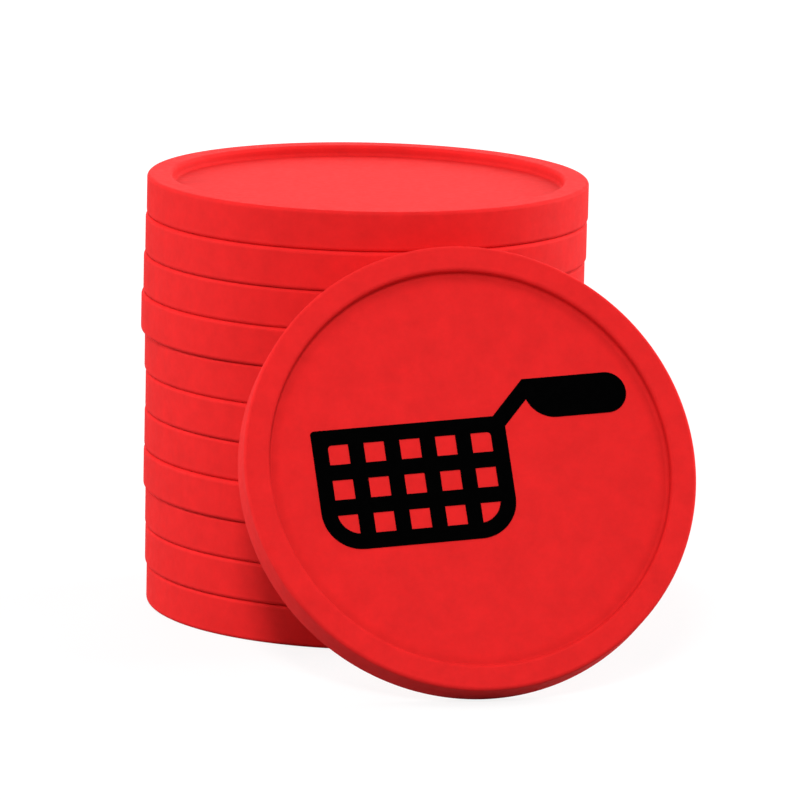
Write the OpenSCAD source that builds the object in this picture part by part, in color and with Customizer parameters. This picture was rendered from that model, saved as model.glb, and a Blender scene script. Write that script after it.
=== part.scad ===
// Refreshment chips: a stack of moulded plastic discs with raised rims, and one more
// with a printed face that leans against the side of the stack.
// Millimetres, +Z up. The origin is the middle of the lowest chip's under side,
// on the table, and the printed face looks towards -Y.

/* [Chip] */
// Outer diameter of a chip
chip_d = 29; // [20:0.5:50]
// Thickness of a chip over its rims
chip_t = 2.6; // [2:0.1:5]
// Width of the raised rim, from the outside to the wall of the recess
rim_w = 1.65; // [1.2:0.05:3]
// Depth of the recess in each face
recess_depth = 0.7; // [0.2:0.05:0.9]
// Rounding of the outer edges
edge_round = 0.25; // [0.1:0.05:0.5]
// Rounding at the top and at the foot of the recess wall
recess_round = 0.25; // [0.05:0.05:0.4]
// Colour of the plastic
chip_colour = "#E62A2C"; // ["#E62A2C":Red, "#2A5FC8":Blue, "#2F9A4C":Green]

/* [Stack] */
// Number of chips in the stack
stack_count = 11; // [1:1:20]
// Furthest that a chip of the stack sits off the stack's axis
stack_slack = 0.6; // [0:0.05:1]

/* [Leaning chip] */
// Distance from the side of the stack to the spot where the leaning chip stands
foot_gap = 13.5; // [8:0.05:18]
// Distance that the leaning chip stands to the right of the stack's axis
foot_aside = 1.8; // [-5:0.1:5]
// Least gap between the leaning chip and the stack
lean_clearance = 0.15; // [0.05:0.05:0.5]
// Turn of the leaning chip about its own axis, in degrees
chip_turn = 3.85; // [-180:0.05:180]

/* [Print] */
// Thickness of the ink film
ink_t = 0.05; // [0.02:0.01:0.2]
// Least distance from the print to the edge of the recess floor
print_margin = 0.9; // [0.2:0.05:3]
// Middle of the basket, to the right of the chip's middle
basket_x = -3.6; // [-6:0.05:2]
// Middle of the basket, above the chip's middle
basket_y = -0.65; // [-3:0.05:3]
// Width of the basket
basket_w = 12.55; // [8:0.05:16]
// Height of the basket
basket_h = 7.85; // [5:0.05:10]
// Width of each printed bar
bar_w = 1; // [0.5:0.01:1.2]
// Openings across the basket
basket_columns = 5; // [2:1:6]
// Openings down the basket
basket_rows = 3; // [1:1:4]
// Inner radius of the basket's lower corners
basket_round = 1.5; // [0.3:0.05:2.5]
// Radius of the basket's upper corners
basket_top_round = 0.25; // [0.1:0.05:0.5]
// Length of the grip
grip_l = 6.65; // [4:0.05:9]
// Height of the grip
grip_h = 2.65; // [1.5:0.05:4]
// Radius under the grip's inner end
grip_toe = 1.95; // [0.5:0.05:2.4]
// Distance from the basket's side to the grip
neck_run = 1.5; // [0.5:0.05:4]
// Distance from the basket's upper edge down to the grip's lower edge
grip_sink = 0.4; // [-1:0.05:1]

/* [Hidden] */
$fn = 96;
chip_r = chip_d / 2;
// The recess wall limits its own two roundings.
wall_round = min(recess_round, recess_depth / 2);
recess_r = chip_r - rim_w;
floor_r = recess_r - wall_round;
stack_h = stack_count * chip_t;
// Cutting shapes run this far past the face that they open.
overcut = chip_t;

// How far each chip, from the lowest up, sits off the axis along X and Y, in parts of stack_slack.
shift_steps = [
    [0, 0], [-0.2, 0.05], [-0.25, 0.05], [-0.55, -0.25], [-0.45, 0.1], [-0.45, -0.25],
    [-0.55, 0.05], [-1, 0.05], [-0.8, 0], [-0.7, -0.25], [-0.55, 0]
];
function chip_shift(level) = stack_slack * shift_steps[(level - 1) % len(shift_steps)];
stack_front = -chip_r + min([for (level = [1:stack_count]) chip_shift(level)[1]]);

// The leaning chip turns about the middle of the rounding of its lower back edge.
foot_y = stack_front - foot_gap;
chip_span = chip_d - 2 * edge_round;
// It leans with its upper back edge on the side of a tall stack.
lean_on_side = asin((foot_gap - lean_clearance - edge_round) / chip_span);
touch_h = edge_round + chip_span * cos(lean_on_side);
// It leans with its back on the upper edge of a low stack.
edge_run = foot_gap + edge_round;
edge_rise = stack_h - 2 * edge_round;
edge_apart = 2 * edge_round + lean_clearance;
lean_on_edge = acos(edge_apart / norm([edge_run, edge_rise])) - atan2(edge_rise, edge_run);
lean = touch_h <= stack_h - edge_round ? lean_on_side : lean_on_edge;

// The drawing of the print is fitted to the recess floor by its furthest point.
grip_left = basket_w + neck_run;
grip_low = basket_h - grip_sink;
basket_corner = basket_round + bar_w;
basket_place = [basket_x - basket_w / 2, basket_y - basket_h / 2];
grip_end = basket_place + [grip_left + grip_l - grip_h / 2, grip_low + grip_h / 2];
corner_low = basket_place + [basket_corner, basket_corner];
corner_high = basket_place + [0, basket_h];
print_reach = max(
    norm(grip_end) + grip_h / 2,
    norm(corner_low) + basket_corner,
    norm(corner_high)
);
print_fit = (floor_r - print_margin) / print_reach;

function chip_name(level) = str("chip_", level < 10 ? "0" : "", level);

// Half the section of a plain disc with rounded outer edges.
module disc_section() {
    square([chip_r - edge_round, chip_t]);
    translate([0, edge_round]) square([chip_r, chip_t - 2 * edge_round]);
    for (z = [edge_round, chip_t - edge_round])
        translate([chip_r - edge_round, z]) circle(r = edge_round);
}

// Half the section of what the recess takes out of the upper face.
module recess_section() {
    floor_z = chip_t - recess_depth;
    translate([0, floor_z]) square([floor_r, recess_depth + overcut]);
    translate([0, floor_z + wall_round]) square([recess_r, recess_depth - wall_round + overcut]);
    translate([floor_r, floor_z + wall_round]) circle(r = wall_round);
    difference() {
        translate([recess_r - wall_round, chip_t - wall_round])
            square([2 * wall_round, wall_round + overcut]);
        translate([recess_r + wall_round, chip_t - wall_round]) circle(r = wall_round);
    }
}

// One chip, standing on its lower rim with its axis along Z.
module chip() {
    rotate_extrude() difference() {
        disc_section();
        recess_section();
        translate([0, chip_t]) mirror([0, 1]) recess_section();
    }
}

// Carries a chip from its own frame to its place against the stack.
module lean_on_stack() {
    translate([foot_aside, foot_y, edge_round])
        rotate([90 - lean, 0, 0])
            translate([0, chip_r - edge_round, -edge_round])
                rotate([0, 0, chip_turn]) children();
}

// A box with its lower and its upper corners rounded.
module rounded_box(width, height, low, high) {
    translate([0, low]) square([width, height - low - high]);
    translate([low, 0]) square([width - 2 * low, height - high]);
    translate([high, low]) square([width - 2 * high, height - low]);
    for (x = [low, width - low]) translate([x, low]) circle(r = low);
    for (x = [high, width - high]) translate([x, height - high]) circle(r = high);
}

// The basket: a tub outline with rows of square openings.
module basket() {
    opening_w = (basket_w - (basket_columns + 1) * bar_w) / basket_columns;
    opening_h = (basket_h - (basket_rows + 1) * bar_w) / basket_rows;
    difference() {
        rounded_box(basket_w, basket_h, basket_corner, basket_top_round);
        intersection() {
            translate([bar_w, bar_w])
                rounded_box(basket_w - 2 * bar_w, basket_h - 2 * bar_w, basket_round, basket_top_round);
            for (column = [0:basket_columns - 1], row = [0:basket_rows - 1])
                translate([bar_w + column * (opening_w + bar_w), bar_w + row * (opening_h + bar_w)])
                    square([opening_w, opening_h]);
        }
    }
}

// The grip: a bar with a round outer end and a rounded toe at its inner end.
module grip() {
    intersection() {
        square([grip_l, grip_h]);
        union() {
            translate([grip_toe, 0]) square([grip_l - grip_toe - grip_h / 2, grip_h]);
            translate([0, grip_toe]) square([grip_l - grip_h / 2, grip_h]);
            translate([grip_toe, grip_toe]) circle(r = grip_toe);
            translate([grip_l - grip_h / 2, grip_h / 2]) circle(d = grip_h);
        }
    }
}

// The slanted neck from the basket's upper corner to the grip's upper corner.
module neck() {
    inset = bar_w * sqrt(2) / 4;
    start = [basket_w - inset, basket_h - inset];
    end = [grip_left + inset, grip_low + grip_h - inset];
    way = end - start;
    translate(start) rotate(atan2(way[1], way[0]))
        translate([0, -bar_w / 2]) square([norm(way), bar_w]);
}

// One bare chip of the stack.
module stack_chip(level) {
    place = chip_shift(level);
    color(chip_colour) translate([place[0], place[1], (level - 1) * chip_t]) chip();
}

// The chip that leans against the stack.
module leaning_chip() {
    color(chip_colour) lean_on_stack() chip();
}

// The ink film on the floor of the leaning chip's front recess.
module leaning_print() {
    color("black") lean_on_stack() translate([0, 0, chip_t - recess_depth])
        linear_extrude(ink_t) scale(print_fit) translate(basket_place) {
            basket();
            neck();
            translate([grip_left, grip_low]) grip();
        }
}

for (level = [1:stack_count])
    stack_chip(level);
leaning_chip();
leaning_print();
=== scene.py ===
import math

import bmesh
import bpy
from mathutils import Matrix, Vector


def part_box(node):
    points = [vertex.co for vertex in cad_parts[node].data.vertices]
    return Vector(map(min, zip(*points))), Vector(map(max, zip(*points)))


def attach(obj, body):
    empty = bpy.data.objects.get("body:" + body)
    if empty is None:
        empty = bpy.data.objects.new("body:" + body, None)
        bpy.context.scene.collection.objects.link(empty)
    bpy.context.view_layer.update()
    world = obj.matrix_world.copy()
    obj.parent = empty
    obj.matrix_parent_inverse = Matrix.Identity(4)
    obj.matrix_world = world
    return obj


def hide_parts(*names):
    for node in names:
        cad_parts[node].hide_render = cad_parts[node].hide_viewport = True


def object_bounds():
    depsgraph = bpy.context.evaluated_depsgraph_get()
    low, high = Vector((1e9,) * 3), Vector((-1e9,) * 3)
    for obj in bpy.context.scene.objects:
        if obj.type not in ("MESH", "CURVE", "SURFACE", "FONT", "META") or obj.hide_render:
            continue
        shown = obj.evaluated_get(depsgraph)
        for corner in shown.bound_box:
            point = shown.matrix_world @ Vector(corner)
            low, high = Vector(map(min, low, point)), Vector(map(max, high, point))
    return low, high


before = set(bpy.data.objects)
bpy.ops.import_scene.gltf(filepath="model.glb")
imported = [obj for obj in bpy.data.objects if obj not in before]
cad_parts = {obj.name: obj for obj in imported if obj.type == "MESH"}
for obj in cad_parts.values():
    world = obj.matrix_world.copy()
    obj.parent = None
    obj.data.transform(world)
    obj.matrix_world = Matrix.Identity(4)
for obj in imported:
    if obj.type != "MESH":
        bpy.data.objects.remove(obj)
cad_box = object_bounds()

# The moulded chip, in metres, as the part's source has it
RIM_WIDTH = 1.65e-3
RECESS_DEPTH = 0.7e-3
EDGE_ROUND = 0.25e-3
RECESS_ROUND = 0.25e-3
# Each face stays this far inside its solid, so that stacked chips lie close without cutting in
FACE_INSET = 1.0e-6
# Fineness of the turned meshes
TURN_STEPS = 192
EDGE_STEPS = 8
RECESS_STEPS = 6
FLOOR_RINGS = 6
# A ring this far from each rounding keeps the flat faces flat under smooth shading
SUPPORT = 0.03e-3

# Colours, in linear light
RED = (0.72, 0.0150, 0.0153)
INK = (0.0004, 0.0004, 0.0004)
WHITE = (1.0, 1.0, 1.0)
# Painted shade in a chip's inner corners, where its own shape occludes light: how far it reaches out
# of the corners, and how dark it gets
SHADE_PAINT_REACH = 0.8e-3
SHADE_PAINT_DEPTH = 0.55
# The span of a noise's values that a range is laid over
NOISE_SPAN = (0.3, 0.7)
# Looks: each noise has a scale, a detail and a roughness, and drives the range named after it
PLASTIC_LOOK = {
    "colour": RED,
    "tone_noise": (600.0, 8.0, 0.7),
    "tone": (0.92, 1.08),
    "roughness_noise": (2500.0, 2.0, 0.5),
    "roughness": (0.75, 0.85),
    "grain_noise": (5200.0, 3.0, 0.5),
    "grain_strength": 0.35,
    "grain_height": 1.0e-5,
    "gloss": 0.09,
}
INK_LOOK = {
    "colour": INK,
    "tone_noise": (1800.0, 3.0, 0.5),
    "tone": (0.7, 1.3),
    "roughness_noise": (3000.0, 2.0, 0.5),
    "roughness": (0.85, 0.97),
    "grain_noise": (6000.0, 2.0, 0.5),
    "grain_strength": 0.2,
    "grain_height": 0.5e-5,
    "gloss": 0.005,
}

# The camera, seen from the stack's axis
CAMERA_AZIMUTH = math.radians(-12.0)
CAMERA_DISTANCE = 0.435
CAMERA_HEIGHT = 0.09851
CAMERA_ASIDE = 0.00208
CAMERA_PITCH = math.radians(11.04)
CAMERA_ROLL = math.radians(1.23)
FOCAL_PIXELS = 6706.0
FRAME_PIXELS = 800.0
SENSOR_WIDTH = 36.0
CLIP_RANGE = (0.01, 20.0)

# Soft boxes: name, azimuth from the camera's own, elevation, distance, side and level.
# A level of 1 lights a surface that faces the box as a plain white room would.
SOFT_BOXES = [
    ("key_box", -3.5, 34.3, 0.60, 0.095, 0.655),
    ("left_box", -103.0, 17.0, 0.45, 0.25, 0.78),
    ("right_box", 117.0, 17.0, 0.45, 0.25, 1.12),
    ("back_box", 180.0, 25.0, 0.45, 0.30, 0.34),
    ("upper_left_box", -60.0, 50.0, 0.45, 0.25, 0.18),
    ("upper_right_box", 70.0, 50.0, 0.45, 0.25, 0.22),
]
WORLD_LEVEL = 0.12
FLOOR_SIDE = 6.0
FLOOR_BOUNCE = 0.30
# What the camera sees of the floor: an even white, and a share that takes shadows
FLOOR_WHITE = 0.85
FLOOR_SHADED = 0.15
# The floor takes shadows up to the first distance, and is as white as the room from the second
SHADOW_REACH = (0.10, 0.25)


def arc(centre, radius, start, end, steps):
    """Points of an arc in the chip's half section, angles in degrees from the radial axis."""
    points = []
    for k in range(steps + 1):
        angle = math.radians(start + (end - start) * k / steps)
        points.append((centre[0] + radius * math.cos(angle), centre[1] + radius * math.sin(angle)))
    return points


def upper_half_section(radius, thickness):
    """Half section of a chip above its mid plane, from the middle of its upper face to its side."""
    top = thickness / 2
    floor = top - RECESS_DEPTH
    recess = radius - RIM_WIDTH
    floor_edge = recess - RECESS_ROUND
    points = [(floor_edge * k / FLOOR_RINGS, floor) for k in range(FLOOR_RINGS)]
    points.append((floor_edge - SUPPORT, floor))
    points += arc((floor_edge, floor + RECESS_ROUND), RECESS_ROUND, -90, 0, RECESS_STEPS)
    points += arc((recess + RECESS_ROUND, top - RECESS_ROUND), RECESS_ROUND, 180, 90, RECESS_STEPS)
    points.append((recess + RECESS_ROUND + SUPPORT, top))
    points.append((radius - EDGE_ROUND - SUPPORT, top))
    points += arc((radius - EDGE_ROUND, top - EDGE_ROUND), EDGE_ROUND, 90, 0, EDGE_STEPS)
    points.append((radius, top - EDGE_ROUND - SUPPORT))
    return points


def chip_section(radius, thickness):
    """The whole half section, from the middle of the upper face to the middle of the lower one."""
    upper = upper_half_section(radius, thickness)
    lower = [(r, -z) for r, z in reversed(upper)]
    return upper + lower


def turn(name, section):
    """A closed mesh turned from a half section whose first and last points lie on the axis."""
    shape = bmesh.new()
    first = shape.verts.new((0, 0, section[0][1]))
    last = shape.verts.new((0, 0, section[-1][1]))
    rings = []
    for radius, z in section[1:-1]:
        ring = []
        for k in range(TURN_STEPS):
            angle = 2 * math.pi * k / TURN_STEPS
            ring.append(shape.verts.new((radius * math.cos(angle), radius * math.sin(angle), z)))
        rings.append(ring)
    for k in range(TURN_STEPS):
        after = (k + 1) % TURN_STEPS
        shape.faces.new((first, rings[0][k], rings[0][after]))
        shape.faces.new((last, rings[-1][after], rings[-1][k]))
        for upper, lower in zip(rings, rings[1:]):
            shape.faces.new((upper[k], lower[k], lower[after], upper[after]))
    for face in shape.faces:
        face.smooth = True
    mesh = bpy.data.meshes.new(name)
    shape.to_mesh(mesh)
    shape.free()
    return mesh


def add_piece(name, mesh, material, body):
    """A piece of the object that moves with a body."""
    piece = bpy.data.objects.new(name, mesh)
    bpy.context.scene.collection.objects.link(piece)
    mesh.materials.append(material)
    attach(piece, body)
    return piece


def new_material(name):
    """A new node material, its node tree and its shader."""
    material = bpy.data.materials.new(name)
    material.use_nodes = True
    tree = material.node_tree
    return material, tree, tree.nodes["Principled BSDF"]


def math_node(tree, operation, first, second):
    """The result of a Math node on two linked values."""
    node = tree.nodes.new("ShaderNodeMath")
    node.operation = operation
    tree.links.new(first, node.inputs[0])
    tree.links.new(second, node.inputs[1])
    return node.outputs["Value"]


def noise(tree, coordinates, settings):
    """A noise texture on the given coordinates."""
    node = tree.nodes.new("ShaderNodeTexNoise")
    for name, setting in zip(("Scale", "Detail", "Roughness"), settings):
        node.inputs[name].default_value = setting
    tree.links.new(coordinates, node.inputs["Vector"])
    return node.outputs["Fac"]


def map_range(tree, value, source, target):
    """Maps a value from one range onto another, and holds it at the ends."""
    node = tree.nodes.new("ShaderNodeMapRange")
    node.inputs["From Min"].default_value, node.inputs["From Max"].default_value = source
    node.inputs["To Min"].default_value, node.inputs["To Max"].default_value = target
    tree.links.new(value, node.inputs["Value"])
    return node.outputs["Result"]


def painted_corner_shade(tree):
    """Painted shade: 1 on open surfaces, and less in the inner corners of a piece's own shape, where
    it is occluded.
    """
    corner = tree.nodes.new("ShaderNodeAmbientOcclusion")
    corner.only_local = True
    corner.inputs["Distance"].default_value = SHADE_PAINT_REACH
    return map_range(tree, corner.outputs["AO"], (0, 1), (1 - SHADE_PAINT_DEPTH, 1))


def uneven_material(name, look, with_painted_shade):
    """A material with an uneven tone and roughness and a fine grain, and if asked, painted shade in
    its inner corners.
    """
    material, tree, shader = new_material(name)
    place = tree.nodes.new("ShaderNodeTexCoord").outputs["Object"]
    tone = map_range(tree, noise(tree, place, look["tone_noise"]), NOISE_SPAN, look["tone"])
    # Painted shade: the tone darkens in the piece's own inner corners
    if with_painted_shade:
        tone = math_node(tree, "MULTIPLY", tone, painted_corner_shade(tree))
    tint = tree.nodes.new("ShaderNodeVectorMath")
    tint.operation = "SCALE"
    tint.inputs[0].default_value = look["colour"]
    tree.links.new(tone, tint.inputs["Scale"])
    tree.links.new(tint.outputs["Vector"], shader.inputs["Base Color"])
    sheen = noise(tree, place, look["roughness_noise"])
    roughness = map_range(tree, sheen, NOISE_SPAN, look["roughness"])
    tree.links.new(roughness, shader.inputs["Roughness"])
    bump = tree.nodes.new("ShaderNodeBump")
    bump.inputs["Strength"].default_value = look["grain_strength"]
    bump.inputs["Distance"].default_value = look["grain_height"]
    tree.links.new(noise(tree, place, look["grain_noise"]), bump.inputs["Height"])
    tree.links.new(bump.outputs["Normal"], shader.inputs["Normal"])
    shader.inputs["Specular IOR Level"].default_value = look["gloss"]
    return material


def make_chips(material):
    """Turns a fine mesh for every chip, in the place of its solid."""
    low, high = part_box("chip_01")
    section = chip_section((high.x - low.x) / 2, high.z - low.z - 2 * FACE_INSET)
    for name in sorted(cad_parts):
        if "chip" not in name:
            continue
        low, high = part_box(name)
        # The largest facet of a solid lies on the floor of a recess, square to the chip's axis.
        facet = max(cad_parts[name].data.polygons, key=lambda polygon: polygon.area)
        turned = Vector((0, 0, 1)).rotation_difference(facet.normal).to_matrix().to_4x4()
        mesh = turn(f"{name}_disc", section)
        mesh.transform(Matrix.Translation((low + high) / 2) @ turned)
        piece = add_piece(f"{name}_disc", mesh, material, name)
        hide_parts(name)


def dress_print(material):
    """The printed film keeps its solid and gets the ink."""
    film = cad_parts["leaning_print"]
    film.data.materials.clear()
    film.data.materials.append(material)


def seen_directly(tree):
    """1 for what the camera sees, straight or in a reflection, and 0 for light that bounces."""
    path = tree.nodes.new("ShaderNodeLightPath")
    total = path.outputs["Is Camera Ray"]
    for name in ("Is Glossy Ray", "Is Transmission Ray"):
        total = math_node(tree, "MAXIMUM", total, path.outputs[name])
    return total


def make_floor():
    """A plain pale floor that keeps the object's shadow and turns as white as the room further off."""
    shape = bmesh.new()
    bmesh.ops.create_grid(shape, x_segments=1, y_segments=1, size=FLOOR_SIDE / 2)
    mesh = bpy.data.meshes.new("floor")
    shape.to_mesh(mesh)
    shape.free()
    floor = bpy.data.objects.new("floor", mesh)
    bpy.context.scene.collection.objects.link(floor)
    material, tree, shader = new_material("pale_floor")
    shader.inputs["Roughness"].default_value = 1.0
    shader.inputs["Specular IOR Level"].default_value = 0.0
    seen = seen_directly(tree)
    colour = tree.nodes.new("ShaderNodeMix")
    colour.data_type = "RGBA"
    colour.inputs["A"].default_value = (FLOOR_BOUNCE, FLOOR_BOUNCE, FLOOR_BOUNCE, 1)
    colour.inputs["B"].default_value = (FLOOR_SHADED, FLOOR_SHADED, FLOOR_SHADED, 1)
    tree.links.new(seen, colour.inputs["Factor"])
    tree.links.new(colour.outputs["Result"], shader.inputs["Base Color"])
    distance = tree.nodes.new("ShaderNodeVectorMath")
    distance.operation = "LENGTH"
    tree.links.new(tree.nodes.new("ShaderNodeTexCoord").outputs["Object"], distance.inputs[0])
    white = map_range(tree, distance.outputs["Value"], SHADOW_REACH, (FLOOR_WHITE, 1))
    glow = tree.nodes.new("ShaderNodeMix")
    glow.inputs["A"].default_value = 0.0
    tree.links.new(white, glow.inputs["B"])
    tree.links.new(seen, glow.inputs["Factor"])
    shader.inputs["Emission Color"].default_value = (*WHITE, 1)
    tree.links.new(glow.outputs["Result"], shader.inputs["Emission Strength"])
    mesh.materials.append(material)


def make_world():
    """A plain white room."""
    world = bpy.data.worlds.new("room")
    bpy.context.scene.world = world
    world.use_nodes = True
    tree = world.node_tree
    background = tree.nodes["Background"]
    background.inputs["Color"].default_value = (*WHITE, 1)
    mix = tree.nodes.new("ShaderNodeMix")
    mix.inputs["A"].default_value = WORLD_LEVEL
    mix.inputs["B"].default_value = 1.0
    tree.links.new(seen_directly(tree), mix.inputs["Factor"])
    tree.links.new(mix.outputs["Result"], background.inputs["Strength"])


def around(azimuth, elevation):
    """The direction from the object to a viewer or a lamp."""
    flat = math.cos(elevation)
    return Vector((math.sin(azimuth) * flat, -math.cos(azimuth) * flat, math.sin(elevation)))


def make_soft_boxes():
    """Square soft boxes round the object, all aimed at its middle."""
    middle = (cad_box[0] + cad_box[1]) / 2
    for name, azimuth, elevation, distance, side, level in SOFT_BOXES:
        lamp = bpy.data.lights.new(name, "AREA")
        lamp.shape = "SQUARE"
        lamp.size = side
        lamp.energy = level * (math.pi * distance) ** 2
        direction = around(CAMERA_AZIMUTH + math.radians(azimuth), math.radians(elevation))
        box = bpy.data.objects.new(name, lamp)
        box.location = middle + direction * distance
        box.rotation_euler = direction.to_track_quat("Z", "Y").to_euler()
        box.visible_camera = False
        bpy.context.scene.collection.objects.link(box)


def make_camera():
    """The photograph's camera: a long lens a little above the chips."""
    lens = bpy.data.cameras.new("camera")
    lens.sensor_width = SENSOR_WIDTH
    lens.lens = FOCAL_PIXELS / FRAME_PIXELS * SENSOR_WIDTH
    lens.clip_start, lens.clip_end = CLIP_RANGE
    camera = bpy.data.objects.new("camera", lens)
    turned = Matrix.Rotation(CAMERA_AZIMUTH, 4, "Z")
    tilted = Matrix.Rotation(math.pi / 2 - CAMERA_PITCH, 4, "X")
    rolled = Matrix.Rotation(CAMERA_ROLL, 4, "Z")
    camera.location = turned @ Vector((CAMERA_ASIDE, -CAMERA_DISTANCE, CAMERA_HEIGHT))
    camera.rotation_euler = (turned @ tilted @ rolled).to_euler()
    bpy.context.scene.collection.objects.link(camera)
    bpy.context.scene.camera = camera


# The red plastic gets painted shade in its inner corners; the ink does not
make_chips(uneven_material("red_plastic", PLASTIC_LOOK, with_painted_shade=True))
dress_print(uneven_material("black_ink", INK_LOOK, with_painted_shade=False))
make_floor()
make_world()
make_soft_boxes()
make_camera()
bpy.context.scene.view_settings.view_transform = "Standard"
